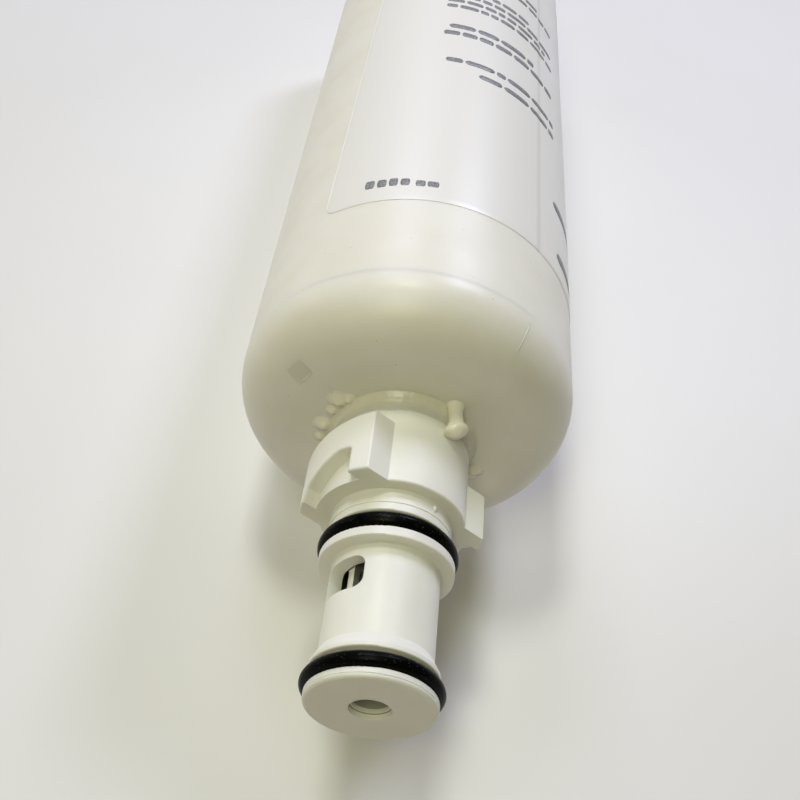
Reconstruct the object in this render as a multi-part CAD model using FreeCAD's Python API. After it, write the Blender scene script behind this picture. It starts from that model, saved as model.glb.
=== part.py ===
# Quarter-turn water filter cartridge for a refrigerator, in millimetres.
# It stands on its closed end with the spigot up: +Z is the cartridge's axis and Z = 0 its base.
import FreeCAD, Part
import math
import os

# Housing: barrel with a closed base, and a round-shouldered head welded on top of it
cartridge_length = 225.0
housing_r = 28.5
barrel_wall = 2.6
base_wall = 3.2
base_round = 4.0
base_inner_round = 2.0
shoulder_round = 9.9
seam_land = 0.4
seam_round = 0.2
head_wall = 3.2
head_inner_round = 5.0
skirt_wall = 2.2
skirt_depth = 8.0
skirt_lead = 0.5

# Spigot, from the nose down: two seal glands, the plain neck between them, and the bayonet collar
nose_r = 9.3
nose_land = 1.54
nose_edge_round = 0.55
lower_root_r = 7.98
upper_root_r = 8.06
lower_ring_section = 2.1
upper_ring_section = 2.62
throat_r = 9.25
throat_rim = 0.7
throat_flare = 1.9
neck_r = 8.2
neck_length = 14.3
neck_fillet = 0.2
flange_r = 10.25
flange_rim = 1.64
seal_land_r = 9.5
seal_land = 3.8
gland_lip = 1.4
gland_lip_step = 0.1
collar_r = 11.4
collar_length = 17.2
collar_edge_round = 0.4
rim_round = 0.2
parting_width = 0.15
parting_depth = 0.12
parting_shift = 0.05
parting_azimuth = 225.0

# Water ways through the spigot: a central outlet tube, an inlet annulus round it, and two windows
outlet_r = 2.6
outlet_length = 24.0
port_r = 3.0
port_depth = 0.85
tube_bore_r = 2.9
tube_wall = 1.05
neck_wall = 2.0
nose_wall = 3.2
web_thickness = 1.4
web_turn = 7.0
web_setback = 0.4
bar_depth = 1.0
window_width = 8.2
window_height = 5.3
window_corner = 1.6
window_rise = 4.45

# Bayonet: two cam bands, each with a stop leg, a detent seat, a ramp and a steeper slope up to the lead leg
key_azimuth = 322.0
band_r = 14.4
pocket_floor_r = 12.0
stop_reach = 8.15
lead_reach = 8.3
stop_leg_height = 11.3
lead_leg_height = 8.3
stop_leg_width = 3.05
lead_leg_width = 2.75
lead_slope_run = 1.55
lead_slope_rise = 1.6
detent_width = 2.1
detent_depth = 4.7
pocket_round = 0.5
band_round = 0.35

# Welds and marks on the head
root_depth = 5.0
ledge_wall = 2.0
ledge_opening = 8.0
root_boss_wall = 3.5
weld_ring_width = 0.7
weld_ring_height = 1.2
weld_ring_taper = 0.45
curl_foot_azimuth = 232.5
curl_tip_azimuth = 229.5
curl_stand_off = 1.5
curl_rise = 4.6
curl_stalk_r = 0.9
curl_bulb_r = 1.3
weld_lumps = (
    # azimuth, stand-off from the spigot, rise of the middle above the face, radius
    (321.0, 1.1, -0.35, 1.2),
    (350.0, 0.75, -0.3, 1.1),
    (333.0, 0.9, -0.2, 0.75),
    (158.0, 1.35, -0.2, 1.0),
)
mark_inset = 6.75
mark_radial = 2.9
mark_across = 3.5
mark_depth = 0.45

# Filter element: a carbon block in a fleece wrap, between two moulded caps
core_r = 6.0
flow_gap = 2.2
wrap_thickness = 0.9
cap_floor = 3.0
cup_wall = 1.2
cup_depth = 9.0
tail_r = 6.0
tail_length = 11.0
tail_drop = 5.0
tail_gap = 1.0
socket_wall = 2.2
socket_depth = 9.5
seal_section = 1.8
seal_rise = 3.2
fin_count = 4
fin_thickness = 2.0
fin_height = 5.0
fin_rise = 3.0

# Wrap-round film label
label_thickness = 0.15
label_top_drop = 18.1
label_length = 118.0
label_wrap = 300.0
label_start = 7.5
label_corner = 2.5

# Clearances
weld_gap = 0.05
gland_play = 0.2
lower_play = 0.8
upper_play = 0.74
ring_seat = 0.1
seat_gap = 0.02
slide_gap = 0.15
wrap_gap = 0.05
fin_gap = 0.3
film_gap = 0.02

# Overlap of cutting tools and joined stock
over = 1.0

# Stations along the axis, from the nose down
lower_gland = lower_ring_section + lower_play
upper_gland = upper_ring_section + upper_play
nose_z = cartridge_length
lower_gland_top = nose_z - nose_land
lower_gland_base = lower_gland_top - lower_gland
throat_z = lower_gland_base - throat_rim
neck_top = throat_z - throat_flare
flange_top = neck_top - neck_length
upper_gland_top = flange_top - flange_rim
upper_gland_base = upper_gland_top - upper_gland
collar_top = upper_gland_base - seal_land
face_z = collar_top - collar_length
root_z = face_z - root_depth
ledge_z = root_z - ledge_wall
ceiling_z = face_z - head_wall
seam_z = face_z - shoulder_round - seam_land
skirt_z = seam_z - skirt_depth
tail_top = ledge_z - tail_drop
tail_end = tail_top - tail_length
cap_top = tail_end - tail_gap
block_top = cap_top - cap_floor
block_base = base_wall + cap_floor
label_top = seam_z - label_top_drop

# Radii that follow from the walls and the clearances
barrel_in_r = housing_r - barrel_wall
skirt_r = barrel_in_r - weld_gap
skirt_in_r = skirt_r - skirt_wall
root_socket_r = collar_r + weld_gap
tube_r = tube_bore_r + tube_wall
neck_in_r = neck_r - neck_wall
cup_r = barrel_in_r - flow_gap
cup_in_r = cup_r - cup_wall
wrap_r = cup_in_r - wrap_gap
wrap_in_r = wrap_r - wrap_thickness
block_r = wrap_in_r - wrap_gap
socket_r = tail_r + slide_gap
seal_root_r = socket_r - seal_section - 2 * seat_gap

AXIS = FreeCAD.Vector(0, 0, 1)
ORIGIN = FreeCAD.Vector(0, 0, 0)


def point(r, z):
    """Point of the half-plane that a section is drawn in."""
    return FreeCAD.Vector(r, 0, z)


def outline(corners):
    """Closed wire through corners given as (r, z) or (r, z, round), with tangent arcs at the rounds."""
    places = [point(corner[0], corner[1]) for corner in corners]
    rounds = [corner[2] if len(corner) == 3 else 0.0 for corner in corners]
    runs = []
    arcs = []
    for index, place in enumerate(places):
        back = (places[index - 1] - place).normalize()
        ahead = (places[(index + 1) % len(places)] - place).normalize()
        half = back.getAngle(ahead) / 2
        reach = rounds[index] / math.tan(half)
        start = place + back * reach
        end = place + ahead * reach
        runs.append((start, end))
        if rounds[index]:
            inward = (back + ahead).normalize()
            middle = place + inward * (rounds[index] / math.sin(half) - rounds[index])
            arcs.append(Part.Arc(start, middle, end).toShape())
        else:
            arcs.append(None)
    edges = []
    for index, arc in enumerate(arcs):
        if arc:
            edges.append(arc)
        leave = runs[index][1]
        arrive = runs[(index + 1) % len(runs)][0]
        if leave.distanceToPoint(arrive) > 1e-6:
            edges.append(Part.LineSegment(leave, arrive).toShape())
    return Part.Wire(edges)


def turned(corners, angle=360.0):
    """Solid of revolution of a section about the axis."""
    return Part.Face(outline(corners)).revolve(ORIGIN, AXIS, angle)


def tube(inner_r, outer_r, base, top):
    """Plain ring between two radii and two stations."""
    return turned([(inner_r, base), (outer_r, base), (outer_r, top), (inner_r, top)])


def at_azimuth(shape, azimuth):
    """Copy of a shape that was made along +X, turned to an azimuth."""
    copy = shape.copy()
    copy.rotate(ORIGIN, AXIS, azimuth)
    return copy


def pair(shape):
    """The shape at the key azimuth, and its half-turn twin."""
    return [at_azimuth(shape, key_azimuth), at_azimuth(shape, key_azimuth + 180)]


def plate(length, width, base, top):
    """Upright plate centred on the axis, lengthways along X."""
    return Part.makeBox(length, width, top - base, FreeCAD.Vector(-length / 2, -width / 2, base))


def ring_seal(root_r, section, middle_z):
    """O-ring seated on a groove root."""
    centre_r = root_r + seat_gap + section / 2
    return Part.makeTorus(centre_r, section / 2, FreeCAD.Vector(0, 0, middle_z), AXIS)


def housing_barrel():
    return turned([
        (0, 0),
        (housing_r, 0, base_round),
        (housing_r, seam_z, seam_round),
        (barrel_in_r, seam_z),
        (barrel_in_r, base_wall, base_inner_round),
        (0, base_wall),
    ])


def alignment_mark():
    """Cutter for the square mark on the shoulder, tilted to the surface it is sunk into."""
    mark_r = housing_r - mark_inset
    flat_r = housing_r - shoulder_round
    lean = math.asin(max(mark_r - flat_r, 0) / shoulder_round)
    surface_z = face_z - shoulder_round * (1 - math.cos(lean))
    cutter = Part.makeBox(mark_radial, mark_across, mark_depth + over)
    cutter.translate(FreeCAD.Vector(-mark_radial / 2, -mark_across / 2, -mark_depth))
    cutter.rotate(ORIGIN, FreeCAD.Vector(0, 1, 0), math.degrees(lean))
    cutter.translate(FreeCAD.Vector(mark_r, 0, surface_z))
    return at_azimuth(cutter, key_azimuth)


def weld_beads():
    """Balls of flash that were squeezed out of the spigot's weld."""
    beads = []
    for azimuth, stand_off, rise, radius in weld_lumps:
        bead = Part.makeSphere(radius, point(root_socket_r + stand_off + radius, face_z + rise))
        beads.append(at_azimuth(bead, azimuth))
    return beads


def weld_curl():
    """Stalk of flash that leans as it rises from the face, and the bulb at its tip."""
    curl_r = root_socket_r + curl_stand_off
    foot = at_azimuth(Part.Vertex(point(curl_r, face_z - curl_stalk_r)), curl_foot_azimuth).Point
    tip = at_azimuth(Part.Vertex(point(curl_r, face_z + curl_rise)), curl_tip_azimuth).Point
    stalk = Part.makeCylinder(curl_stalk_r, foot.distanceToPoint(tip), foot, tip - foot)
    return stalk.fuse(Part.makeSphere(curl_bulb_r, tip))


def housing_head():
    weld_top = face_z + weld_ring_height
    boss_r = root_socket_r + root_boss_wall
    head = turned([
        (skirt_in_r, skirt_z),
        (skirt_r - skirt_lead, skirt_z),
        (skirt_r, skirt_z + skirt_lead),
        (skirt_r, seam_z),
        (housing_r, seam_z, seam_round),
        (housing_r, face_z, shoulder_round),
        (root_socket_r + weld_ring_width, face_z),
        (root_socket_r + weld_ring_width - weld_ring_taper, weld_top),
        (root_socket_r, weld_top),
        (root_socket_r, root_z),
        (ledge_opening, root_z),
        (ledge_opening, ledge_z),
        (boss_r, ledge_z),
        (boss_r, ceiling_z),
        (skirt_in_r, ceiling_z, head_inner_round),
    ])
    return head.fuse(weld_beads() + [weld_curl()]).removeSplitter().cut(alignment_mark())


def spigot_stock():
    """Turned form of the spigot: nose, glands, neck, collar and the tail that plugs into the element."""
    seal_z = tail_end + seal_rise
    half_groove = (seal_section + gland_play) / 2
    lip_z = upper_gland_base - gland_lip
    port_base = nose_z - port_depth
    outlet_base = port_base - outlet_length
    return turned([
        (tube_bore_r, tail_end),
        (tail_r, tail_end, rim_round),
        (tail_r, seal_z - half_groove),
        (seal_root_r, seal_z - half_groove),
        (seal_root_r, seal_z + half_groove),
        (tail_r, seal_z + half_groove),
        (tail_r, tail_top, rim_round),
        (tube_r, tail_top),
        (tube_r, root_z),
        (collar_r, root_z),
        (collar_r, collar_top, collar_edge_round),
        (seal_land_r, collar_top),
        (seal_land_r, lip_z),
        (seal_land_r - gland_lip_step, lip_z),
        (seal_land_r - gland_lip_step, upper_gland_base, rim_round),
        (upper_root_r, upper_gland_base),
        (upper_root_r, upper_gland_top),
        (flange_r, upper_gland_top, rim_round),
        (flange_r, flange_top, rim_round),
        (neck_r, flange_top, neck_fillet),
        (neck_r, neck_top),
        (throat_r, throat_z),
        (throat_r, lower_gland_base, rim_round),
        (lower_root_r, lower_gland_base),
        (lower_root_r, lower_gland_top),
        (nose_r, lower_gland_top, rim_round),
        (nose_r, nose_z, nose_edge_round),
        (port_r, nose_z),
        (port_r, port_base),
        (outlet_r, port_base),
        (outlet_r, outlet_base),
        (tube_bore_r, outlet_base),
    ])


def drawn_prism(places):
    """Prism along +X of a side outline, given as places across the band and drops below the collar's top."""
    corners = [FreeCAD.Vector(0, across, collar_top - drop) for across, drop in places]
    side = Part.Face(Part.makePolygon(corners + corners[:1]))
    return side.extrude(FreeCAD.Vector(band_r + over, 0, 0))


def cam_pocket():
    """Cutter for the pocket of one band: stop seat, flat detent, ramp, and the slope up to the lead leg."""
    stop_seat = stop_leg_width - stop_reach
    lead_edge = lead_reach - lead_leg_width
    pocket = drawn_prism([
        (stop_seat, -over),
        (stop_seat, detent_depth),
        (stop_seat + detent_width, detent_depth),
        (lead_edge - lead_slope_run, lead_slope_rise),
        (lead_edge, 0),
        (lead_edge, -over),
    ])
    corners = [edge for edge in pocket.Edges if abs(edge.Curve.Direction.x) > 0.5]
    inner = [edge for edge in corners if edge.CenterOfMass.z < collar_top - seat_gap]
    return pocket.makeFillet(pocket_round, inner).cut(Part.makeCylinder(pocket_floor_r, nose_z))


def on_rim(edge):
    """True for an edge of a band whose ends both lie on the band's outer face."""
    return all(abs(math.hypot(end.X, end.Y) - band_r) < seat_gap for end in edge.Vertexes)


def cam_band():
    """One bayonet band along +X, with end faces that are parallel to the way its mould draws."""
    deepest = max(stop_leg_height, lead_leg_height)
    stock = tube(collar_r - over, band_r, collar_top - deepest, collar_top)
    band = stock.common(drawn_prism([
        (-stop_reach, 0),
        (-stop_reach, stop_leg_height),
        (lead_reach, lead_leg_height),
        (lead_reach, 0),
    ])).cut(cam_pocket())
    rim = [edge for edge in band.Edges if on_rim(edge)]
    return band.makeFillet(band_round, rim)


def inlet_annulus():
    """Cells of the water way between the outlet tube and the neck, parted by crossed webs.

    Behind the windows the webs stop short of the tube, so that only bars are left there.
    """
    cells = tube(tube_r, neck_in_r, root_z - over, nose_z - nose_wall)
    span = 2 * neck_r
    for quarter in (0, 90):
        web = plate(span, web_thickness, root_z - 2 * over, nose_z)
        cells = cells.cut(at_azimuth(web, key_azimuth + web_turn + quarter))
    window_base = flange_top + window_rise - window_height / 2
    bar_in_r = neck_in_r - web_setback - bar_depth
    return cells.fuse(tube(tube_r, bar_in_r, window_base, window_base + window_height))


def inlet_window():
    """Cutter for one round-cornered window through the neck's wall, along +X."""
    reach = neck_r + over
    base = flange_top + window_rise - window_height / 2
    opening = Part.makeBox(reach, window_width, window_height, FreeCAD.Vector(0, -window_width / 2, base))
    corners = [edge for edge in opening.Edges if abs(edge.Curve.Direction.x) > 0.5]
    core = Part.makeCylinder(neck_in_r - web_setback, nose_z)
    return opening.makeFillet(window_corner, corners).cut(core)


def parting_groove():
    """Cutter for the fine line of the mould's parting round the nose, deepest on one side."""
    base = nose_z - nose_edge_round - parting_width
    ring = tube(nose_r - parting_depth, nose_r + over, base, base + parting_width)
    ring.translate(FreeCAD.Vector(-parting_shift, 0, 0))
    return at_azimuth(ring, parting_azimuth)


def bayonet_spigot():
    spigot = spigot_stock().fuse(pair(cam_band())).removeSplitter()
    return spigot.cut([inlet_annulus(), parting_groove()] + pair(inlet_window()))


def lower_o_ring():
    return ring_seal(lower_root_r, lower_ring_section, lower_gland_top - ring_seat - lower_ring_section / 2)


def upper_o_ring():
    return ring_seal(upper_root_r, upper_ring_section, upper_gland_top - ring_seat - upper_ring_section / 2)


def element_seal():
    return ring_seal(seal_root_r, seal_section, tail_end + seal_rise)


def element_top_cap():
    socket_outer_r = socket_r + socket_wall
    socket_top = cap_top + socket_depth
    return turned([
        (tube_bore_r, block_top),
        (cup_in_r, block_top),
        (cup_in_r, block_top - cup_depth),
        (cup_r, block_top - cup_depth),
        (cup_r, cap_top, cup_wall),
        (socket_outer_r, cap_top, cup_wall),
        (socket_outer_r, socket_top),
        (socket_r, socket_top),
        (socket_r, cap_top),
        (tube_bore_r, cap_top),
    ])


def element_base_cap():
    cup = turned([
        (0, base_wall),
        (cup_r, base_wall, cup_wall),
        (cup_r, block_base + cup_depth),
        (cup_in_r, block_base + cup_depth),
        (cup_in_r, block_base),
        (0, block_base),
    ])
    fin_base = base_wall + fin_rise
    fin_top = fin_base + fin_height
    ring = tube(cup_r - cup_wall / 2, barrel_in_r - fin_gap, fin_base, fin_top)
    for index in range(fin_count):
        blade = Part.makeBox(housing_r, fin_thickness, fin_top - fin_base,
                             FreeCAD.Vector(0, -fin_thickness / 2, fin_base))
        cup = cup.fuse(ring.common(at_azimuth(blade, 360 / fin_count * index)))
    return cup.removeSplitter()


def carbon_block():
    return tube(core_r, block_r, block_base, block_top)


def prefilter_wrap():
    return tube(wrap_in_r, wrap_r, block_base, block_top)


def wrap_label():
    """Film label: part of a sleeve, with its four corners rounded."""
    inner_r = housing_r + film_gap
    outer_r = inner_r + label_thickness
    base = label_top - label_length
    sleeve = turned([(inner_r, base), (outer_r, base), (outer_r, label_top), (inner_r, label_top)], label_wrap)
    corners = [edge for edge in sleeve.Edges if abs(edge.Length - label_thickness) < label_thickness / 10
               and abs(edge.Vertexes[0].Z - edge.Vertexes[1].Z) < film_gap]
    return at_azimuth(sleeve.makeFillet(label_corner, corners), label_start)


NODES = (
    housing_barrel,
    housing_head,
    bayonet_spigot,
    lower_o_ring,
    upper_o_ring,
    element_seal,
    element_top_cap,
    element_base_cap,
    carbon_block,
    prefilter_wrap,
    wrap_label,
)

os.makedirs("parts", exist_ok=True)
for node in NODES:
    node().exportStep("parts/" + node.__name__ + ".step")
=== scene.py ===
"""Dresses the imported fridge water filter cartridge: finishes, wrap-round label, printed bars and weld flash.

The cartridge stands on its closed end in the frame. It was seen lying down with its nose towards the eye,
so the table top is the upright plane that the barrel's +Y side touches, and the camera is rolled to suit.
"""
import bpy
import numpy as np
from mathutils import Matrix, Vector


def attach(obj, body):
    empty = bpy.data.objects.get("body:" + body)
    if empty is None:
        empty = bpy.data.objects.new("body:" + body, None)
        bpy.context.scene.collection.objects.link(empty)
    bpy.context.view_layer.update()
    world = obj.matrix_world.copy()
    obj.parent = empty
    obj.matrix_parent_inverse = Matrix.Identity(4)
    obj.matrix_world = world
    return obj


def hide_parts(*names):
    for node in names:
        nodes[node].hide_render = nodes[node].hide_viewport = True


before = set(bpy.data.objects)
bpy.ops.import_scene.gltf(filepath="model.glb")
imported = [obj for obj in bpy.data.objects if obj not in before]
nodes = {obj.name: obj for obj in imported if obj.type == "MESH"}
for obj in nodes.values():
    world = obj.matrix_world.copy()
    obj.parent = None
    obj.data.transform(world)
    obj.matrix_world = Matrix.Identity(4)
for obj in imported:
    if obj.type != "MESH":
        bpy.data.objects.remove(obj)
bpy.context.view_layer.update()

MM = 0.001

# Places on the solids that the new pieces sit on, in millimetres
BARREL_R = 28.5
COLLAR_R = 11.4
FACE_Z = 177.66
SEAM_Z = 167.36
SHOULDER_R = 18.6
SHOULDER_ROUND = 9.9
MARK_R = 21.75
MARK_AZIMUTH = 322.0  # degrees

# The label and its crease: heights and thicknesses in millimetres, azimuths in degrees
LABEL_TOP = 149.26
LABEL_BASE = 31.26
LABEL_FROM = 7.5
LABEL_TO = 307.5
LABEL_GAP = 0.02
LABEL_THICK = 0.10
CREASE_AT = 227.9  # at the label's top
CREASE_LEAN = 0.0286  # degrees for each millimetre of height
CREASE_WIDTH = 2.2

# Refractive indices
POLYPROPYLENE_IOR = 1.49
NITRILE_IOR = 1.5
FILM_IOR = 1.5
INK_IOR = 1.5


# Meshes

def polar(r, azimuth, z):
    """Points in metres from a radius and a height in millimetres and an azimuth in degrees."""
    turn = np.radians(azimuth)
    return np.stack(np.broadcast_arrays(r * np.cos(turn), r * np.sin(turn), z), axis=-1) * MM


def grid_faces(rows, columns, wrap_rows, wrap_columns):
    """Quads of a grid of points numbered row by row, joined end to end where it wraps."""
    i = np.arange(rows if wrap_rows else rows - 1)[:, None]
    j = np.arange(columns if wrap_columns else columns - 1)[None, :]
    below = (i + 1) % rows
    beside = (j + 1) % columns
    corners = (i * columns + j, below * columns + j, below * columns + beside, i * columns + beside)
    return np.stack(np.broadcast_arrays(*corners), axis=-1).reshape(-1, 4)


def cap_faces(ring):
    """Quads over a ring of an even count of points, all fanned out from its first point."""
    k = 2 * np.arange((len(ring) - 2) // 2)
    return np.stack([np.full_like(k, ring[0]), ring[k + 1], ring[k + 2], ring[k + 3]], axis=-1)


def closed_tube(rings):
    """Points and faces of a tube from its rings, an array of rows by columns, capped at both ends."""
    rows, columns = rings.shape[:2]
    column = np.arange(columns)
    first = cap_faces(column)
    last = cap_faces((rows - 1) * columns + column[::-1])
    points = rings.reshape(-1, 3)
    return points, np.concatenate([grid_faces(rows, columns, False, True), first, last])


def closed_sheet(outer, inner):
    """Points and faces of a sheet from two grids of points, its outer and inner skin, joined at the rim."""
    points = np.concatenate([outer, inner[:, ::-1]], axis=1)
    columns, ring = points.shape[:2]
    flat = np.arange(outer.shape[1] - 1)
    first = np.stack([flat + 1, flat, ring - 1 - flat, ring - 2 - flat], axis=-1)
    last = first[:, ::-1] + (columns - 1) * ring
    return points.reshape(-1, 3), np.concatenate([grid_faces(columns, ring, False, True), first, last])


def outward(points, faces):
    """The same faces, turned round if the closed shell that they make has a negative volume."""
    a, b, c, d = (points[faces[:, k]] for k in range(4))
    volume = np.einsum("ij,ij->", a, np.cross(b, c)) + np.einsum("ij,ij->", a, np.cross(c, d))
    return faces if volume > 0 else faces[:, ::-1]


def make_piece(name, points, faces, material):
    """Mesh object at the origin that rides on the cartridge and takes its finish from a slot."""
    mesh = bpy.data.meshes.new(name)
    mesh.from_pydata(points.tolist(), [], outward(points, faces).tolist())
    mesh.update()
    mesh.polygons.foreach_set("use_smooth", np.ones(len(faces), dtype=bool))
    mesh.materials.append(material)
    piece = bpy.data.objects.new(name, mesh)
    bpy.context.scene.collection.objects.link(piece)
    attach(piece, "root")
    return piece


# Finishes

def linear(colour):
    """Linear RGBA of an sRGB hex colour."""
    parts = np.array([int(colour[k:k + 2], 16) for k in (1, 3, 5)]) / 255
    parts = np.where(parts <= 0.04045, parts / 12.92, ((parts + 0.055) / 1.055) ** 2.4)
    return (*parts.tolist(), 1.0)


def put(tree, kind, sockets=None, **settings):
    """Adds a node with its settings; a socket is given a value, or the output that feeds it."""
    node = tree.nodes.new(kind)
    for name, value in settings.items():
        setattr(node, name, value)
    for key, value in (sockets or {}).items():
        if isinstance(value, bpy.types.NodeSocket):
            tree.links.new(value, node.inputs[key])
        else:
            node.inputs[key].default_value = value
    return node


def new_finish(name):
    """Empty node material, its tree and its Object coordinates, which are in metres."""
    material = bpy.data.materials.new(name)
    material.use_nodes = True
    tree = material.node_tree
    tree.nodes.clear()
    place = put(tree, "ShaderNodeTexCoord").outputs["Object"]
    return material, tree, place


def pitch(millimetres):
    """Texture scale at which one noise cell is that wide on Object coordinates in metres."""
    return 1 / (millimetres * MM)


PAINTED_SHADE_AND_STAIN = (
    # middle radius, half width, middle height, half height, share, colour: millimetres in the spigot
    # The first three rows are painted shade in the waterway's recesses; the last is a brown tide-line stain.
    (4.46, 1.26, 197.0, 25.0, 0.88, "#2B2A22"),
    (6.06, 0.16, 197.0, 25.0, 0.88, "#2B2A22"),
    (1.48, 1.48, 200.0, 23.6, 0.55, "#2B2A22"),
    (2.95, 0.13, 224.15, 0.06, 0.70, "#5E5334"),
)


def from_axis(tree, place):
    """Distance of a point from the cartridge's axis and its height along it, in metres."""
    parts = put(tree, "ShaderNodeSeparateXYZ", {0: place}).outputs
    flat = put(tree, "ShaderNodeCombineXYZ", {0: parts[0], 1: parts[1]})
    r = put(tree, "ShaderNodeVectorMath", {0: flat.outputs[0]}, operation="LENGTH").outputs["Value"]
    return r, parts[2]


def paint_shade_and_stain(tree, place, colour):
    """Painted shade and a tide-line stain inside the spigot, laid over a clean colour where radius and height
    both fit.

    Painted shade blackens the inlet annulus, all but the fronts of its bars, and darkens the outlet bore; a
    thin brown tide line is left on the step at the bore's mouth.
    """
    r, z = from_axis(tree, place)
    for middle_r, half_r, middle_z, half_z, share, tint in PAINTED_SHADE_AND_STAIN:
        ringed = put(tree, "ShaderNodeMath", {0: r, 1: middle_r * MM, 2: half_r * MM}, operation="COMPARE")
        level = put(tree, "ShaderNodeMath", {0: z, 1: middle_z * MM, 2: half_z * MM}, operation="COMPARE")
        both = put(tree, "ShaderNodeMath", {0: ringed.outputs[0], 1: level.outputs[0]}, operation="MULTIPLY")
        faded = put(tree, "ShaderNodeMath", {0: both.outputs[0], 1: share}, operation="MULTIPLY")
        marked = put(tree, "ShaderNodeMix", {
            0: faded.outputs[0], 6: colour, 7: linear(tint)}, data_type="RGBA")
        colour = marked.outputs[2]
    return colour


def moulded_polypropylene(name, body, mottle, rough, softness, shade_and_stain_inside=False):
    """Injection-moulded polypropylene: a satin, slightly see-through skin that light sinks into.

    The melt leaves faint clouds a centimetre wide and shallow sink waves; the mould leaves a fine grain;
    handling leaves small grey specks.
    """
    cloud_mm, wave_mm, speck_mm, grain_mm = 11, 7, 3.2, 0.45
    speck_core, speck_edge, speck_share = 0.028, 0.05, 0.35  # radii as shares of a speck's cell
    material, tree, place = new_finish(name)
    cloud = put(tree, "ShaderNodeTexNoise", {"Vector": place, "Scale": pitch(cloud_mm), "Detail": 3.0})
    grain = put(tree, "ShaderNodeTexNoise", {"Vector": place, "Scale": pitch(grain_mm), "Detail": 2.0})
    wave = put(tree, "ShaderNodeTexNoise", {"Vector": place, "Scale": pitch(wave_mm), "Detail": 1.0})
    speck = put(tree, "ShaderNodeTexVoronoi", {"Vector": place, "Scale": pitch(speck_mm), "Randomness": 1.0})
    clouded = put(tree, "ShaderNodeMapRange", {
        "Value": cloud.outputs["Fac"], "From Min": 0.35, "From Max": 0.7})
    tinted = put(tree, "ShaderNodeMix", {
        0: clouded.outputs[0], 6: linear(body), 7: linear(mottle)}, data_type="RGBA")
    spotted = put(tree, "ShaderNodeMapRange", {
        "Value": speck.outputs["Distance"], "From Min": speck_core, "From Max": speck_edge,
        "To Min": speck_share, "To Max": 0.0})
    soiled = put(tree, "ShaderNodeMix", {
        0: spotted.outputs[0], 6: tinted.outputs[2], 7: linear("#8F8B78")}, data_type="RGBA").outputs[2]
    # Inside the spigot, painted shade of the waterway and a brown tide-line stain go over the colour.
    shown = paint_shade_and_stain(tree, place, soiled) if shade_and_stain_inside else soiled
    worn = put(tree, "ShaderNodeMapRange", {
        "Value": wave.outputs["Fac"], "From Min": 0.3, "From Max": 0.7,
        "To Min": rough - 0.05, "To Max": rough + 0.06})
    waved = put(tree, "ShaderNodeBump", {
        "Height": wave.outputs["Fac"], "Strength": 0.10, "Distance": 0.35 * MM})
    grained = put(tree, "ShaderNodeBump", {
        "Height": grain.outputs["Fac"], "Strength": 0.10, "Distance": 0.05 * MM, "Normal": waved.outputs[0]})
    skin = put(tree, "ShaderNodeBsdfPrincipled", {
        "Base Color": shown, "Roughness": worn.outputs[0], "IOR": POLYPROPYLENE_IOR,
        "Normal": grained.outputs[0], "Subsurface Weight": softness,
        "Subsurface Radius": (1.0, 0.8, 0.5), "Subsurface Scale": 2.5 * MM})
    put(tree, "ShaderNodeOutputMaterial", {"Surface": skin.outputs[0]})
    return material


def melted_polypropylene():
    """Polypropylene squeezed out of a friction weld: glossy, finely bubbled, with a darker, yellower painted
    shade beside the collar.
    """
    shade_full_r, shade_clear_r, root_shade_share = 12.2, 13.3, 0.4
    cloud_mm, ripple_mm, bubble_mm = 2.2, 0.9, 0.7
    material, tree, place = new_finish("polypropylene_weld_melt")
    r = from_axis(tree, place)[0]
    # Painted shade: a darker, yellower tint at the weld's root that fades out away from the collar.
    painted_root_shade = put(tree, "ShaderNodeMapRange", {
        "Value": r, "From Min": shade_full_r * MM, "From Max": shade_clear_r * MM,
        "To Min": root_shade_share, "To Max": 0.0})
    cloud = put(tree, "ShaderNodeTexNoise", {"Vector": place, "Scale": pitch(cloud_mm), "Detail": 2.0})
    bubble = put(tree, "ShaderNodeTexVoronoi", {
        "Vector": place, "Scale": pitch(bubble_mm), "Randomness": 1.0})
    ripple = put(tree, "ShaderNodeTexNoise", {"Vector": place, "Scale": pitch(ripple_mm), "Detail": 2.0})
    tinted = put(tree, "ShaderNodeMix", {
        0: cloud.outputs["Fac"], 6: linear("#F0EEE4"), 7: linear("#E6E3D2")}, data_type="RGBA")
    tinted = put(tree, "ShaderNodeMix", {
        0: painted_root_shade.outputs[0], 6: tinted.outputs[2], 7: linear("#D6D2BA")}, data_type="RGBA")
    rippled = put(tree, "ShaderNodeBump", {
        "Height": ripple.outputs["Fac"], "Strength": 0.7, "Distance": 0.18 * MM})
    pocked = put(tree, "ShaderNodeBump", {
        "Height": bubble.outputs["Distance"], "Strength": 0.25, "Distance": 0.12 * MM,
        "Normal": rippled.outputs[0]})
    skin = put(tree, "ShaderNodeBsdfPrincipled", {
        "Base Color": tinted.outputs[2], "Roughness": 0.16, "IOR": POLYPROPYLENE_IOR,
        "Normal": pocked.outputs[0], "Subsurface Weight": 0.3,
        "Subsurface Radius": (1.0, 0.85, 0.45), "Subsurface Scale": 1.2 * MM})
    put(tree, "ShaderNodeOutputMaterial", {"Surface": skin.outputs[0]})
    return material


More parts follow.
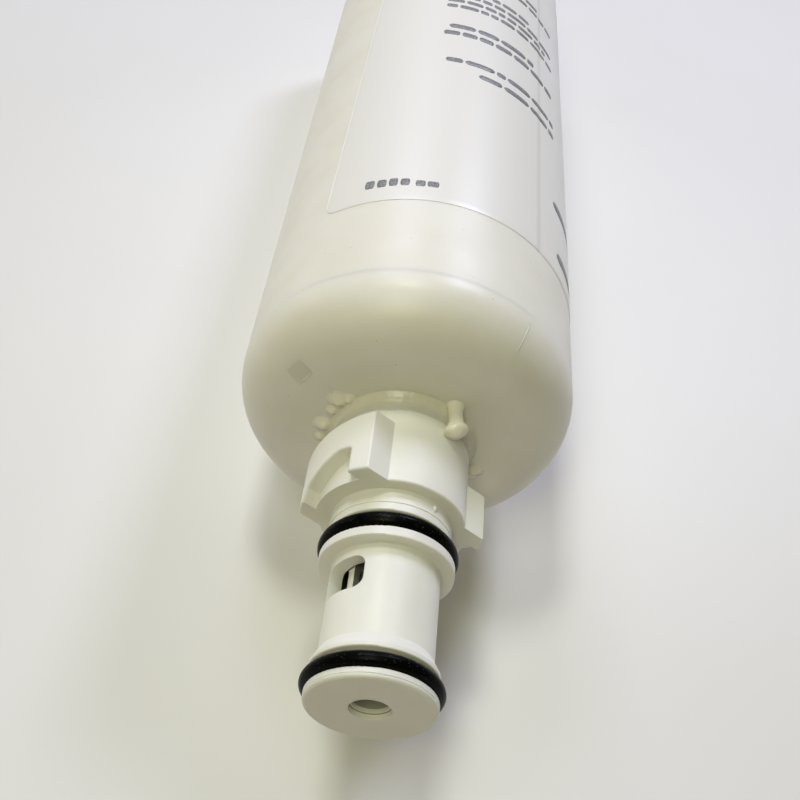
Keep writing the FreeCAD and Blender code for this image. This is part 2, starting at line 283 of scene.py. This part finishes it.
def moulded_nitrile():
    """Compression-moulded nitrile rubber: near black, a soft sheen, with pale dust that clings to it."""
    smear_mm, dust_mm, grain_mm = 3.0, 0.45, 0.35
    dust_core, dust_edge, most_tint = 0.07, 0.16, 0.30  # radii as shares of a grain's cell
    material, tree, place = new_finish("nitrile_rubber_moulded")
    grain = put(tree, "ShaderNodeTexNoise", {"Vector": place, "Scale": pitch(grain_mm), "Detail": 3.0})
    smear = put(tree, "ShaderNodeTexNoise", {"Vector": place, "Scale": pitch(smear_mm), "Detail": 2.0})
    dust = put(tree, "ShaderNodeTexVoronoi", {"Vector": place, "Scale": pitch(dust_mm), "Randomness": 1.0})
    tint_share = put(tree, "ShaderNodeMapRange", {
        "Value": dust.outputs["Distance"], "From Min": dust_core, "From Max": dust_edge,
        "To Min": most_tint, "To Max": 0.0})
    coated = put(tree, "ShaderNodeMix", {
        0: tint_share.outputs[0], 6: linear("#050706"), 7: linear("#8C9088")}, data_type="RGBA")
    worn = put(tree, "ShaderNodeMapRange", {
        "Value": smear.outputs["Fac"], "From Min": 0.3, "From Max": 0.7, "To Min": 0.24, "To Max": 0.36})
    grained = put(tree, "ShaderNodeBump", {
        "Height": grain.outputs["Fac"], "Strength": 0.3, "Distance": 0.03 * MM})
    skin = put(tree, "ShaderNodeBsdfPrincipled", {
        "Base Color": coated.outputs[2], "Roughness": worn.outputs[0], "IOR": NITRILE_IOR,
        "Normal": grained.outputs[0], "Specular IOR Level": 0.05})
    put(tree, "ShaderNodeOutputMaterial", {"Surface": skin.outputs[0]})
    return material


def laminated_film():
    """White polypropylene label film, laminated: smooth and half glossy, a touch cooler than the barrel.

    The film turns a darker grey along the crease, where the azimuth comes near to the crease's own at that
    height.
    """
    cloud_mm, peel_mm = 16, 2.4
    crease_dark_reach, most_tint = 0.9 * CREASE_WIDTH, 0.42
    material, tree, place = new_finish("label_film_laminated")
    cloud = put(tree, "ShaderNodeTexNoise", {"Vector": place, "Scale": pitch(cloud_mm), "Detail": 2.0})
    peel = put(tree, "ShaderNodeTexNoise", {"Vector": place, "Scale": pitch(peel_mm), "Detail": 2.0})
    tinted = put(tree, "ShaderNodeMix", {
        0: cloud.outputs["Fac"], 6: linear("#EFEEEC"), 7: linear("#E9E9E8")}, data_type="RGBA")
    middle = np.radians(CREASE_AT - CREASE_WIDTH / 2 - CREASE_LEAN * LABEL_TOP - 360)
    parts = put(tree, "ShaderNodeSeparateXYZ", {0: place}).outputs
    azimuth = put(tree, "ShaderNodeMath", {0: parts[1], 1: parts[0]}, operation="ARCTAN2")
    crease = put(tree, "ShaderNodeMath", {
        0: parts[2], 1: np.radians(CREASE_LEAN) / MM, 2: middle}, operation="MULTIPLY_ADD")
    aside = put(tree, "ShaderNodeMath", {0: azimuth.outputs[0], 1: crease.outputs[0]}, operation="SUBTRACT")
    apart = put(tree, "ShaderNodeMath", {0: aside.outputs[0]}, operation="ABSOLUTE")
    # Darker grey along the crease, fading out to either side.
    tint_share = put(tree, "ShaderNodeMapRange", {
        "Value": apart.outputs[0], "From Max": np.radians(crease_dark_reach), "To Min": most_tint, "To Max": 0.0},
        interpolation_type="SMOOTHSTEP")
    tinted = put(tree, "ShaderNodeMix", {
        0: tint_share.outputs[0], 6: tinted.outputs[2], 7: linear("#C9C8C6")}, data_type="RGBA")
    worn = put(tree, "ShaderNodeMapRange", {
        "Value": cloud.outputs["Fac"], "From Min": 0.3, "From Max": 0.7, "To Min": 0.30, "To Max": 0.38})
    peeled = put(tree, "ShaderNodeBump", {
        "Height": peel.outputs["Fac"], "Strength": 0.12, "Distance": 0.05 * MM})
    skin = put(tree, "ShaderNodeBsdfPrincipled", {
        "Base Color": tinted.outputs[2], "Roughness": worn.outputs[0], "IOR": FILM_IOR,
        "Normal": peeled.outputs[0]})
    put(tree, "ShaderNodeOutputMaterial", {"Surface": skin.outputs[0]})
    return material


def printed_ink():
    """Thermal-transfer ink: a thin dark grey-blue film, worn through in fine pinholes."""
    pinhole_mm = 0.35
    material, tree, place = new_finish("label_ink_printed")
    pinhole = put(tree, "ShaderNodeTexNoise", {"Vector": place, "Scale": pitch(pinhole_mm), "Detail": 2.0})
    worn = put(tree, "ShaderNodeMapRange", {
        "Value": pinhole.outputs["Fac"], "From Min": 0.45, "From Max": 0.75})
    inked = put(tree, "ShaderNodeMix", {
        0: worn.outputs[0], 6: linear("#74767C"), 7: linear("#AFB1B5")}, data_type="RGBA")
    skin = put(tree, "ShaderNodeBsdfPrincipled", {
        "Base Color": inked.outputs[2], "Roughness": 0.45, "IOR": INK_IOR})
    put(tree, "ShaderNodeOutputMaterial", {"Surface": skin.outputs[0]})
    return material


def sintered_carbon():
    """Sintered activated carbon: dull black grit, a third of a millimetre across, with grey glints."""
    grit_mm = 0.35
    material, tree, place = new_finish("carbon_block_sintered")
    grit = put(tree, "ShaderNodeTexVoronoi", {"Vector": place, "Scale": pitch(grit_mm), "Randomness": 1.0})
    shade = put(tree, "ShaderNodeMix", {
        0: grit.outputs["Distance"], 6: linear("#1A1A1B"), 7: linear("#3A3A3C")}, data_type="RGBA")
    rough = put(tree, "ShaderNodeBump", {
        "Height": grit.outputs["Distance"], "Strength": 0.8, "Distance": 0.15 * MM})
    skin = put(tree, "ShaderNodeBsdfPrincipled", {
        "Base Color": shade.outputs[2], "Roughness": 0.85, "Normal": rough.outputs[0]})
    put(tree, "ShaderNodeOutputMaterial", {"Surface": skin.outputs[0]})
    return material


def nonwoven_fleece():
    """Melt-blown polypropylene fleece: matt white, a felt of fibres, drawn 0.3 mm wide so that they show."""
    fibre_mm, fibre_draw = 0.3, 0.2
    material, tree, place = new_finish("fleece_melt_blown")
    across = put(tree, "ShaderNodeMapping", {"Vector": place, "Scale": (1.0, 1.0, fibre_draw)})
    fibre = put(tree, "ShaderNodeTexNoise", {
        "Vector": across.outputs[0], "Scale": pitch(fibre_mm), "Detail": 4.0, "Distortion": 1.5})
    shade = put(tree, "ShaderNodeMix", {
        0: fibre.outputs["Fac"], 6: linear("#F0EFEA"), 7: linear("#D9D8D0")}, data_type="RGBA")
    felted = put(tree, "ShaderNodeBump", {
        "Height": fibre.outputs["Fac"], "Strength": 0.6, "Distance": 0.2 * MM})
    skin = put(tree, "ShaderNodeBsdfPrincipled", {
        "Base Color": shade.outputs[2], "Roughness": 0.95, "Normal": felted.outputs[0], "Sheen Weight": 0.3})
    put(tree, "ShaderNodeOutputMaterial", {"Surface": skin.outputs[0]})
    return material


IVORY = moulded_polypropylene("polypropylene_ivory_moulded", "#ECEBE4", "#E7E5DB", 0.38, 0.2)
WHITE = moulded_polypropylene("polypropylene_white_moulded", "#EFEFE9", "#EAEAE2", 0.42, 0.2, shade_and_stain_inside=True)
# Spark-eroded matt skin of the sunk mark; its colours are a little darker than the ivory's as painted shade of
# the recess.
SPARKED_PAINTED_SHADE = moulded_polypropylene("polypropylene_ivory_spark_eroded_painted_shade", "#E6E4DA", "#E0DDD1", 0.5, 0.2)
CAPS = moulded_polypropylene("polypropylene_cap_moulded", "#EAEAE6", "#E2E2DD", 0.45, 0.1)
MELT = melted_polypropylene()
RUBBER = moulded_nitrile()
FILM = laminated_film()
INK = printed_ink()
CARBON = sintered_carbon()
FLEECE = nonwoven_fleece()

NODE_FINISHES = {
    "housing_barrel": IVORY,
    "housing_head": IVORY,
    "bayonet_spigot": WHITE,
    "lower_o_ring": RUBBER,
    "upper_o_ring": RUBBER,
    "element_seal": RUBBER,
    "element_top_cap": CAPS,
    "element_base_cap": CAPS,
    "carbon_block": CARBON,
    "prefilter_wrap": FLEECE,
    "wrap_label": FILM,
}
for node_name, finish in NODE_FINISHES.items():
    node_mesh = nodes[node_name].data
    node_mesh.materials.clear()
    node_mesh.materials.append(finish)


# Pieces

def crease_drop(azimuth, z):
    """How far the film sinks beside its crease: a smooth step that dies away exponentially in a few degrees.

    The crease leans: its azimuth falls evenly from the label's top to its base.
    """
    depth, fade = 0.088, 6.0
    past = np.maximum(CREASE_AT - CREASE_LEAN * (LABEL_TOP - z) - azimuth, 0)
    step = np.minimum(past / CREASE_WIDTH, 1)
    return depth * step ** 2 * (3 - 2 * step) * np.exp(-np.maximum(past - CREASE_WIDTH, 0) / fade)


def label_film():
    """Film on the barrel, a grid over azimuth and height with an outer and an inner skin joined at its rim.

    The height of each column runs between limits that draw in by a quarter circle at the four corners. One
    upright edge is cut askew: the azimuth shifts with the height, most at that edge and not at all at the
    other. The outer skin stands off the barrel by the film's thickness, which feathers out at the rim, less
    its drop beside a crease. Columns stand closer together at the crease.
    """
    corner, feather, rim_share, skew = 2.5, 0.7, 0.15, 0.055
    columns, rows, crease_reach, crease_columns = 361, 60, 3.0, 61
    even = np.linspace(LABEL_FROM, LABEL_TO, columns)
    azimuth = np.union1d(even, CREASE_AT + np.linspace(-crease_reach, crease_reach, crease_columns))
    to_edge = np.radians(np.minimum(azimuth - LABEL_FROM, LABEL_TO - azimuth)) * BARREL_R
    inset = corner - np.sqrt(np.maximum(corner ** 2 - np.maximum(corner - to_edge, 0) ** 2, 0))
    along = 0.5 - 0.5 * np.cos(np.pi * np.linspace(0, 1, rows))[None, :]
    low = (LABEL_BASE + inset)[:, None]
    high = (LABEL_TOP - inset)[:, None]
    z = low + (high - low) * along
    to_rim = np.minimum(np.minimum(z - low, high - z), to_edge[:, None])
    share = (azimuth - LABEL_FROM) / (LABEL_TO - LABEL_FROM)
    askew = azimuth[:, None] - skew * share[:, None] * (LABEL_TOP - z)
    feathered = rim_share + (1 - rim_share) * np.clip(to_rim / feather, 0, 1)
    film = (LABEL_THICK - crease_drop(askew, z)) * feathered
    outer = polar(BARREL_R + LABEL_GAP + film, askew, z)
    inner = polar(BARREL_R + LABEL_GAP, askew, z)
    points, faces = closed_sheet(outer, inner)
    return make_piece("label_film", points, faces, FILM)


def label_print():
    """Rows of plain printed bars, each bar a flat profile carried along its azimuth.

    A bar's half height is constant but for its two ends, where it draws in as a superellipse does. The
    lengths of the bars in a row are drawn at random about a mean.
    """
    ink_base, ink_top, ink_slope, end_power, end_share = -0.01, 0.025, 0.96, 10, 0.1
    gap, shortest, longest, least_left = 0.45, 0.45, 1.5, 1.5
    rng = np.random.default_rng(7)
    rows = (
        # height along the axis, from azimuth, to azimuth, bar height, mean bar length
        (105.4, 256, 214, 1.7, 4.6),
        (101.4, 270, 214, 1.7, 4.6),
        (90.2, 272, 215, 1.8, 4.4),
        (87.2, 270, 229, 1.8, 4.4),
        (78.0, 272, 214, 1.5, 3.8),
        (75.4, 272, 220, 1.5, 3.8),
        (72.8, 272, 214, 1.5, 3.8),
        (70.2, 272, 232, 1.5, 3.8),
        (62.0, 272, 214, 1.5, 3.8),
        (59.4, 272, 226, 1.5, 3.8),
        (144.3, 292.8, 289.4, 2.3, 9.0),
        (144.4, 288.5, 285.2, 2.2, 9.0),
        (144.3, 284.4, 281.3, 2.2, 9.0),
        (144.4, 280.4, 277.2, 2.0, 9.0),
        (144.7, 275.2, 271.8, 1.7, 9.0),
        (144.7, 271.2, 267.2, 1.6, 9.0),
        (129.0, 216, 186, 2.6, 9.0),
        (143.6, 214, 186, 2.6, 9.0),
    )
    bar_gap = np.degrees(gap / BARREL_R)
    bars = []
    for height, first, last, bar, mean in rows:
        cursor = first
        while cursor - last > least_left:
            length = np.degrees(mean * rng.uniform(shortest, longest) / BARREL_R)
            stop = max(cursor - length, last)
            bars.append((cursor, stop, height, bar / 2))
            cursor = stop - bar_gap
    starts, stops, heights, halves = np.array(bars).T[:, :, None]
    count, steps = len(bars), 14
    t = np.linspace(0, 1, steps)[None, :]
    azimuth = starts + (stops - starts) * t
    half = halves * np.maximum(1 - np.abs(2 * t - 1) ** end_power, end_share) ** 0.5
    section = [(ink_base, -1), (ink_top, -ink_slope), (ink_top, ink_slope), (ink_base, 1)]
    film_r = BARREL_R + LABEL_GAP + LABEL_THICK - crease_drop(azimuth, heights)
    points = np.stack([polar(film_r + up, azimuth, heights + side * half) for up, side in section], axis=2)
    points = points.reshape(-1, 3)
    one = grid_faces(steps, 4, False, True)
    caps = np.array([[3, 2, 1, 0], [4 * steps - 4, 4 * steps - 3, 4 * steps - 2, 4 * steps - 1]])
    one = np.concatenate([one, caps])
    faces = (one[None] + (np.arange(count) * 4 * steps)[:, None, None]).reshape(-1, 4)
    return make_piece("label_print", points, faces, INK)


def weld_flash():
    """Flash round the spigot's root: a height over azimuth and radius, closed underneath.

    The film's height falls off from the collar as a super-Gaussian of the radius, with fine ridges, a cosine
    of the radius, and a thin exponential lip that creeps up the collar. Height, width and lip wander round
    the collar by three sines of the azimuth. Each bead adds a dome, a Gaussian of the distance from its
    middle, and the cube root of the sum of their cubes blends them.
    """
    beads = np.array([
        # azimuth, radius of its middle, height, width
        (321.0, 13.75, 1.08, 1.32),
        (315.0, 12.8, 0.8, 0.9),
        (333.0, 13.1, 0.75, 0.85),
        (350.0, 13.3, 1.05, 1.25),
        (4.0, 13.6, 0.6, 0.9),
        (158.0, 13.8, 1.02, 1.15),
        (152.5, 14.2, 0.6, 0.8),
    ])
    inner_r, outer_r, crowding, sink, floor_drop = COLLAR_R - 0.05, 17.0, 1.8, 0.08, 0.5
    ridge_height, ridge_pitch, ridge_drift, lip_width = 0.06, 0.42, 0.8, 0.16
    columns, rows = 720, 90
    azimuth = (np.arange(columns) * (360 / columns))[:, None]
    r = (inner_r + (outer_r - inner_r) * np.linspace(0, 1, rows) ** crowding)[None, :]
    turn = np.radians(azimuth)
    wander = 0.5 * np.sin(2 * turn + 0.6) + 0.3 * np.sin(5 * turn + 2.1) + 0.2 * np.sin(11 * turn + 4.0)
    film_height = 1.32 + 0.12 * wander
    film_width = 0.85 + 0.08 * wander
    lip_height = 2.6 + 0.4 * wander
    out = r - inner_r
    ridges = 1 + ridge_height * np.cos(2 * np.pi * out / ridge_pitch + ridge_drift * wander)
    film = film_height * ridges * np.exp(-(out / film_width) ** 3) + lip_height * np.exp(-out / lip_width)
    total = film ** 3
    for bead_azimuth, bead_r, height, width in beads:
        x = r * np.cos(turn) - bead_r * np.cos(np.radians(bead_azimuth))
        y = r * np.sin(turn) - bead_r * np.sin(np.radians(bead_azimuth))
        dome = height * np.exp(-(x * x + y * y) / width ** 2)
        total = total + dome ** 3
    top = polar(r, azimuth, FACE_Z - sink + total ** (1 / 3))
    under = polar(np.array([[outer_r, inner_r]]), azimuth, FACE_Z - floor_drop)
    points = np.concatenate([top, under], axis=1)
    faces = grid_faces(columns, rows + 2, True, True)
    return make_piece("weld_flash", points.reshape(-1, 3), faces, MELT)


def seam_weld():
    """Weld between barrel and head: a low crest with a sixth power of the height, carried round the axis."""
    foot_r, crest, inner_r, half_height = BARREL_R - 0.05, 0.0499, BARREL_R - 0.3, 0.3
    columns, rows = 360, 21
    up = np.linspace(-1, 1, rows)[None, :]
    azimuth = (np.arange(columns) * (360 / columns))[:, None]
    outer = polar(foot_r + crest * (1 - up ** 6), azimuth, SEAM_Z + half_height * up)
    inner = polar(inner_r, azimuth, SEAM_Z + half_height * np.array([[1.0, -1.0]]))
    points = np.concatenate([outer, inner], axis=1)
    faces = grid_faces(columns, rows + 2, True, True)
    return make_piece("seam_weld", points.reshape(-1, 3), faces, IVORY)


def on_shoulder(out, across, above):
    """Points over the shoulder's quarter circle, by two arc lengths from the mark's middle and a height."""
    lean = np.arcsin((MARK_R - SHOULDER_R) / SHOULDER_ROUND) + out / SHOULDER_ROUND
    over = SHOULDER_ROUND + above
    r = SHOULDER_R + over * np.sin(lean)
    z = FACE_Z - SHOULDER_ROUND + over * np.cos(lean)
    return polar(r, MARK_AZIMUTH + np.degrees(across / MARK_R), z)


def sunk_mark():
    """Square mark with a tilted floor: a depth over two arc lengths on the shoulder, closed underneath.

    The floor falls towards the spigot and to one side, and the four walls climb from it as smooth steps of
    the distance to the nearest edge. The rim dips under the shoulder, so that no border shows.
    """
    half_out, half_across, wall = 1.56, 1.86, 0.36
    fall_in, fall_across, dip, dip_width, under = 0.27, 0.05, 0.03, 0.1, 0.6
    steps = 65
    out = np.linspace(-1, 1, steps)[:, None]
    across = np.linspace(-1, 1, steps)[None, :]
    depth = (fall_in + fall_across * (1 - across) / 2) * (1 - out) / 2
    to_edge = np.minimum(half_out * (1 - np.abs(out)), half_across * (1 - np.abs(across)))
    climb = np.clip(to_edge / wall, 0, 1)
    sunk = depth * climb ** 2 * (3 - 2 * climb) + dip * np.maximum(1 - to_edge / dip_width, 0)
    top = on_shoulder(half_out * out, half_across * across, -sunk)
    floor = on_shoulder(half_out * out, half_across * across, -under)
    points, faces = closed_sheet(top, floor)
    return make_piece("sunk_mark", points, faces, SPARKED_PAINTED_SHADE)


def mark_lip():
    """Lip on two edges of the sunk mark: a flat round section carried along an L, mitred at its corner."""
    half_out, half_across, half, flat, tip_share, mitre = 1.47, 1.77, 0.15, 0.6, 0.004, 10
    first_end, last_end = 0.5, -0.85  # shares of the mark's half sides
    columns, rows = 12, 81
    t = np.linspace(0, 2, rows)[:, None]  # 0 and 2 are the ends, 1 is the corner
    turn = (np.arange(columns) * (2 * np.pi / columns))[None, :]
    thick = half * np.sqrt(np.maximum(1 - np.abs(t - 1) ** 4, tip_share))
    sideways = thick * np.cos(turn)
    on_last = np.clip(mitre * t - (mitre - 1), 0, 1)
    on_first = np.clip(mitre + 1 - mitre * t, 0, 1)
    out = half_out * np.interp(t, (0, 1, 2), (first_end, -1, -1)) - sideways * on_last
    across = half_across * np.interp(t, (0, 1, 2), (1, 1, last_end)) + sideways * on_first
    points, faces = closed_tube(on_shoulder(out, across, flat * thick * np.sin(turn)))
    return make_piece("mark_lip", points, faces, MELT)


def weld_curl():
    """Curl of flash beside the spigot: an elliptical section carried up from the face, capped at both ends.

    Both half axes are a stalk's, plus a flare that dies away exponentially from the foot, plus a Gaussian
    bulb near the tip, and the tip draws in as a quarter ellipse. The bulb's rings are sheared along the axis.
    """
    foot, tip, bulb_at, bulb_length, flare_length, tip_share = -0.5, 6.25, 4.85, 1.15, 0.8, 0.0004
    foot_x, foot_y, lean_x, lean_y, lean_length, shear = -7.95, -10.3, -0.4, 0.45, 4.5, 0.3
    columns, rows = 40, 60
    rise = np.linspace(foot, tip, rows)[:, None]
    turn = (np.arange(columns) * (2 * np.pi / columns))[None, :]
    lean = np.clip(rise / lean_length, 0, 1)
    lean = lean * lean * (3 - 2 * lean)
    bulb = np.exp(-((rise - bulb_at) / bulb_length) ** 2)
    flare = np.exp(-np.maximum(rise, 0) / flare_length)
    past_bulb = np.clip((rise - bulb_at) / (tip - bulb_at), 0, 1)
    draw_in = np.sqrt(np.maximum(1 - past_bulb ** 2, tip_share))
    half_x = (1.14 + 0.82 * bulb + 0.45 * flare) * draw_in
    half_y = (1.02 + 0.48 * bulb + 0.35 * flare) * draw_in
    x = foot_x + lean_x * lean + half_x * np.cos(turn)
    y = foot_y + lean_y * lean + half_y * np.sin(turn)
    z = FACE_Z + rise + shear * bulb * half_x * np.cos(turn)
    points, faces = closed_tube(np.stack([x, y, z], axis=-1) * MM)
    return make_piece("weld_curl", points, faces, MELT)


def mould_burr():
    """Burr of a mould parting on the seal land: rings over its height, lumpy by two sines of the angle.

    A ring's radius is a circle's half chord at its height, and the end rings stop just short of the poles.
    """
    middle_r, azimuth, middle_z, half_height, half_width, pole = 9.5, 230.0, 196.0, 0.62, 0.36, 0.995
    columns, rows = 24, 17
    up = np.linspace(-pole, pole, rows)[:, None]
    turn = (np.arange(columns) * (2 * np.pi / columns))[None, :]
    lump = 1 + 0.18 * np.sin(2 * turn + 3 * up) + 0.08 * np.sin(5 * turn)
    size = half_width * np.sqrt(1 - up ** 2) * lump
    ahead = size * np.cos(turn)
    beside = np.degrees(size * np.sin(turn) / middle_r)
    points, faces = closed_tube(polar(middle_r + ahead, azimuth + beside, middle_z + half_height * up))
    return make_piece("mould_burr", points, faces, WHITE)


def shoulder_scuff():
    """Hair-thin raised scuff: a small flat section carried down the shoulder's quarter circle.

    It swerves to one side with the square of the way along it, and both ends taper off.
    """
    from_lean, to_lean, from_azimuth, swerve, middle_r = 44.0, 84.0, 231.8, 0.9, 26
    half, flat, tip_share = 0.11, 0.5, 0.003
    columns, rows = 8, 60
    t = np.linspace(0, 1, rows)[:, None]
    turn = (np.arange(columns) * (2 * np.pi / columns))[None, :]
    lean = np.radians(from_lean + (to_lean - from_lean) * t)
    thick = half * np.sqrt(np.maximum(1 - (2 * t - 1) ** 4, tip_share))
    over = SHOULDER_ROUND + flat * thick * np.sin(turn)
    r = SHOULDER_R + over * np.sin(lean)
    z = FACE_Z - SHOULDER_ROUND + over * np.cos(lean)
    azimuth = from_azimuth - swerve * t ** 2 + np.degrees(thick * np.cos(turn) / middle_r)
    points, faces = closed_tube(polar(r, azimuth, z))
    return make_piece("shoulder_scuff", points, faces, MELT)


label_piece = label_film()
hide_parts("wrap_label")
label_print()
weld_flash()
seam_weld()
sunk_mark()
mark_lip()
weld_curl()
mould_burr()
shoulder_scuff()


# Table top, light and camera

ROOM_COLOURS = (
    # far right, far left, near right, near left; then the table's far and near glow, right and left
    (0.03, 0.02, 0.01, 1.0),
    (0.06, 0.04, 0.03, 1.0),
    (0.08, 0.075, 0.05, 1.0),
    (0.20, 0.16, 0.10, 1.0),
    (1.13, 1.15, 1.0, 1.0),
    (1.13, 1.15, 1.0, 1.0),
    (0.33, 0.30, 0.27, 1.0),
    (0.33, 0.30, 0.27, 1.0),
)
ROOM_BLENDS = (
    # axis, and where along it the blend of each pair of colours starts and ends
    ("X", -0.5, 0.5),
    ("Z", -0.25, 0.25),
    ("Y", -0.1, 0.1),
)
LAMPS = (
    # name, degrees behind the upright, degrees to the left, width in metres, watts, colour
    ("window_right", 45, -20, 0.16, 1.7, (1.0, 1.0, 1.32)),
    ("window_left", 44, 10, 0.24, 1.0, (1.0, 1.0, 1.36)),
    ("ceiling_far", 21, 7, 0.14, 1.72, (1.0, 1.0, 0.88)),
    ("ceiling_mid", -10, 10, 0.24, 0.86, (0.95, 1.03, 1.0)),
    ("ceiling_near", -30, 10, 0.24, 1.36, (1.0, 1.0, 0.57)),
    ("side_left", 50, 60, 0.24, 0.35, (1.0, 1.0, 1.0)),
)
LAMP_TARGET = (0, 0, 180)  # the head, in millimetres
LAMP_DISTANCE = 0.8  # metres

# Camera: sensor and lens in millimetres, its place in millimetres, and two headings in the frame
SENSOR = 36.0
LENS = 43.943
EYE = (0.0, -123.83, 283.41)
EYE_FORWARD = (0.00611, 0.73196, -0.68132)
EYE_DOWN = (-0.11561, 0.67728, 0.72659)


def table_top():
    """Flat sheet that the barrel lies against; seen from behind it is clear, and it throws no light back."""
    reach, clearance, cloud_mm = 1500.0, 0.2, 60
    touch = BARREL_R + clearance
    corners = np.array([
        (-reach, touch, -reach), (reach, touch, -reach), (reach, touch, reach), (-reach, touch, reach)])
    mesh = bpy.data.meshes.new("table_top")
    mesh.from_pydata((corners * MM).tolist(), [], [(0, 1, 2, 3)])
    table = bpy.data.objects.new("table_top", mesh)
    bpy.context.scene.collection.objects.link(table)
    table.visible_diffuse = False
    table.visible_shadow = False
    material, tree, place = new_finish("table_laminate_white")
    cloud = put(tree, "ShaderNodeTexNoise", {"Vector": place, "Scale": pitch(cloud_mm), "Detail": 2.0})
    tinted = put(tree, "ShaderNodeMix", {
        0: cloud.outputs["Fac"], 6: linear("#E6E6E7"), 7: linear("#E1E1E0")}, data_type="RGBA")
    top = put(tree, "ShaderNodeBsdfPrincipled", {"Base Color": tinted.outputs[2], "Roughness": 0.5})
    behind = put(tree, "ShaderNodeNewGeometry").outputs["Backfacing"]
    clear = put(tree, "ShaderNodeBsdfTransparent")
    shown = put(tree, "ShaderNodeMixShader", {0: behind, 1: top.outputs[0], 2: clear.outputs[0]})
    put(tree, "ShaderNodeOutputMaterial", {"Surface": shown.outputs[0]})
    mesh.materials.append(material)


def room_light():
    """Pale room: light thrown back by the table, a dim warm side towards the eye and a faint far side.

    Eight colours are halved three times, blended to the left, towards the eye and down to the table.
    """
    world = bpy.data.worlds.new("room")
    world.use_nodes = True
    tree = world.node_tree
    tree.nodes.clear()
    heading = put(tree, "ShaderNodeTexCoord").outputs["Generated"]
    parts = put(tree, "ShaderNodeSeparateXYZ", {0: heading}).outputs
    colours = ROOM_COLOURS
    for axis, start, end in ROOM_BLENDS:
        share = put(tree, "ShaderNodeMapRange", {"Value": parts[axis], "From Min": start, "From Max": end},
                    interpolation_type="SMOOTHSTEP").outputs[0]
        colours = [
            put(tree, "ShaderNodeMix", {0: share, 6: low, 7: high}, data_type="RGBA").outputs[2]
            for low, high in zip(colours[::2], colours[1::2])
        ]
    sky = put(tree, "ShaderNodeBackground", {"Color": colours[0], "Strength": 1.0})
    put(tree, "ShaderNodeOutputWorld", {"Surface": sky.outputs[0]})
    bpy.context.scene.world = world


def lamp(name, behind, aside, width, energy, colour):
    """Soft square lamp aimed at the head from above: degrees behind the upright and to the left of it."""
    back, side = np.radians((behind, aside))
    heading = Vector((np.sin(side), -np.cos(side) * np.cos(back), -np.cos(side) * np.sin(back)))
    light = bpy.data.lights.new(name, "AREA")
    light.shape = "SQUARE"
    light.size = width
    light.energy = energy
    light.color = colour
    holder = bpy.data.objects.new(name, light)
    holder.location = Vector(LAMP_TARGET) * MM + heading * LAMP_DISTANCE
    holder.rotation_mode = "QUATERNION"
    holder.rotation_quaternion = (-heading).to_track_quat("-Z", "Y")
    holder.visible_camera = False
    bpy.context.scene.collection.objects.link(holder)


def eye_camera():
    """Camera over the nose end, rolled so that the spigot points down in the picture."""
    data = bpy.data.cameras.new("eye")
    data.sensor_width = SENSOR
    data.lens = LENS
    data.clip_start = 0.01
    camera = bpy.data.objects.new("eye", data)
    forward = Vector(EYE_FORWARD).normalized()
    right = Vector(EYE_DOWN).cross(forward).normalized()
    down = forward.cross(right)
    turn = Matrix((right, -down, -forward)).transposed().to_4x4()
    camera.matrix_world = Matrix.Translation(Vector(EYE) * MM) @ turn
    bpy.context.scene.collection.objects.link(camera)
    bpy.context.scene.camera = camera


table_top()
room_light()
for settings in LAMPS:
    lamp(*settings)
eye_camera()
bpy.context.scene.view_settings.view_transform = "Standard"
